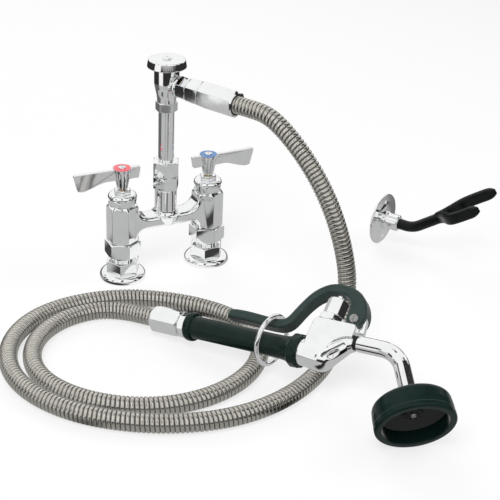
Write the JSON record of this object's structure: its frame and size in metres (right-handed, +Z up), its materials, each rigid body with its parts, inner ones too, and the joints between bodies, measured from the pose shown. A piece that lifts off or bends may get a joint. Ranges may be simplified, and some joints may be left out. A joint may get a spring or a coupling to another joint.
{
  "type": "pre rinse faucet",
  "caption": "Deck mount pre rinse faucet: bridge body with two blade handles, riser with vacuum breaker, ribbed hose, squeeze spray valve with hold ring, and wall hook.",
  "frame": {"origin": "midway between the two inlets, on the deck under the feet", "axes": "+X from the hot inlet to the cold inlet, -Y to the user, +Z up"},
  "size_m": [0.5767, 0.4556, 0.248],
  "materials": {
    "chrome": "polished chrome plate",
    "green_grip": "smooth dark green moulded rubber",
    "green_coating": "dark dipped plastic coating",
    "rubber": "matt black rubber",
    "brass": "turned brass",
    "steel": "plain stainless steel",
    "hose_steel": "wound stainless steel strip",
    "ceramic": "ground ceramic",
    "hot_red": "gloss red",
    "cold_blue": "gloss blue"
  },
  "bodies": {
    "faucet": {"faucet_body": "chrome", "hot_foot": "chrome", "cold_foot": "chrome", "hot_union_nut": "chrome", "cold_union_nut": "chrome", "hot_washer": "rubber", "cold_washer": "rubber", "hot_seat_disc": "ceramic", "cold_seat_disc": "ceramic", "hot_bonnet": "chrome", "cold_bonnet": "chrome", "hot_packing_nut": "chrome", "cold_packing_nut": "chrome", "riser_adapter": "chrome", "riser_washer": "rubber", "riser_nut": "chrome", "riser_pipe": "chrome", "breaker_body": "chrome", "breaker_vent": "brass", "breaker_cap": "chrome", "cap_screw": "chrome", "outlet_nipple": "chrome", "outlet_washer": "rubber", "swivel_nut": "chrome", "upper_coupling": "chrome", "hose": "hose_steel", "lower_coupling": "chrome", "grip_collar": "chrome", "handle_pipe": "steel", "grip": "green_grip", "valve_body": "chrome", "valve_seat": "brass", "valve_spring": "steel", "valve_bonnet": "chrome", "pivot_screw": "chrome", "pivot_nut": "chrome", "outlet_gland": "rubber", "spray_tube": "chrome", "spray_head": "chrome", "bumper": "green_grip", "spray_face": "rubber", "face_screw": "steel", "hook_plate": "chrome", "hook_boss": "chrome", "hook_set_screw": "steel", "hook_fork": "green_coating"},
    "hot_handle": {"hot_stem": "brass", "hot_handle": "chrome", "hot_index": "hot_red", "hot_handle_screw": "chrome"},
    "cold_handle": {"cold_stem": "brass", "cold_handle": "chrome", "cold_index": "cold_blue", "cold_handle_screw": "chrome"},
    "poppet": {"breaker_poppet": "rubber"},
    "lever": {"lever": "green_grip"},
    "valve_stem": {"valve_stem": "brass"},
    "hold_ring": {"hold_ring": "chrome"}
  },
  "joints": [
    {"name": "hot_handle_turn", "type": "hinge", "parent": "faucet", "child": "hot_handle", "pos_m": [-0.0508, 0, 0.12], "axis": [0, 0, 1], "range_deg": [0, 90]},
    {"name": "cold_handle_turn", "type": "hinge", "parent": "faucet", "child": "cold_handle", "pos_m": [0.0508, 0, 0.12], "axis": [0, 0, 1], "range_deg": [-90, 0]},
    {"name": "poppet_lift", "type": "slide", "parent": "faucet", "child": "poppet", "axis": [0, 0, 1], "range_m": [0, 0.006]},
    {"name": "lever_squeeze", "type": "hinge", "parent": "faucet", "child": "lever", "pos_m": [0.07116, -0.29088, 0.06935], "axis": [-0.5647, -0.1919, 0.8027], "range_deg": [0, 2.2], "stiffness_Nm_per_rad": 2, "springref_deg": -17.19},
    {"name": "stem_push", "type": "slide", "parent": "faucet", "child": "valve_stem", "axis": [-0.6601, -0.4786, -0.5789], "range_m": [0, 0.00106]},
    {"name": "ring_slide", "type": "slide", "parent": "faucet", "child": "hold_ring", "axis": [0.8193, -0.0139, 0.5731], "range_m": [0, 0.005]}
  ],
  "couplings": [
    {"joint": "stem_push", "follows": "lever_squeeze", "m_per_rad": 0.0274}
  ]
}
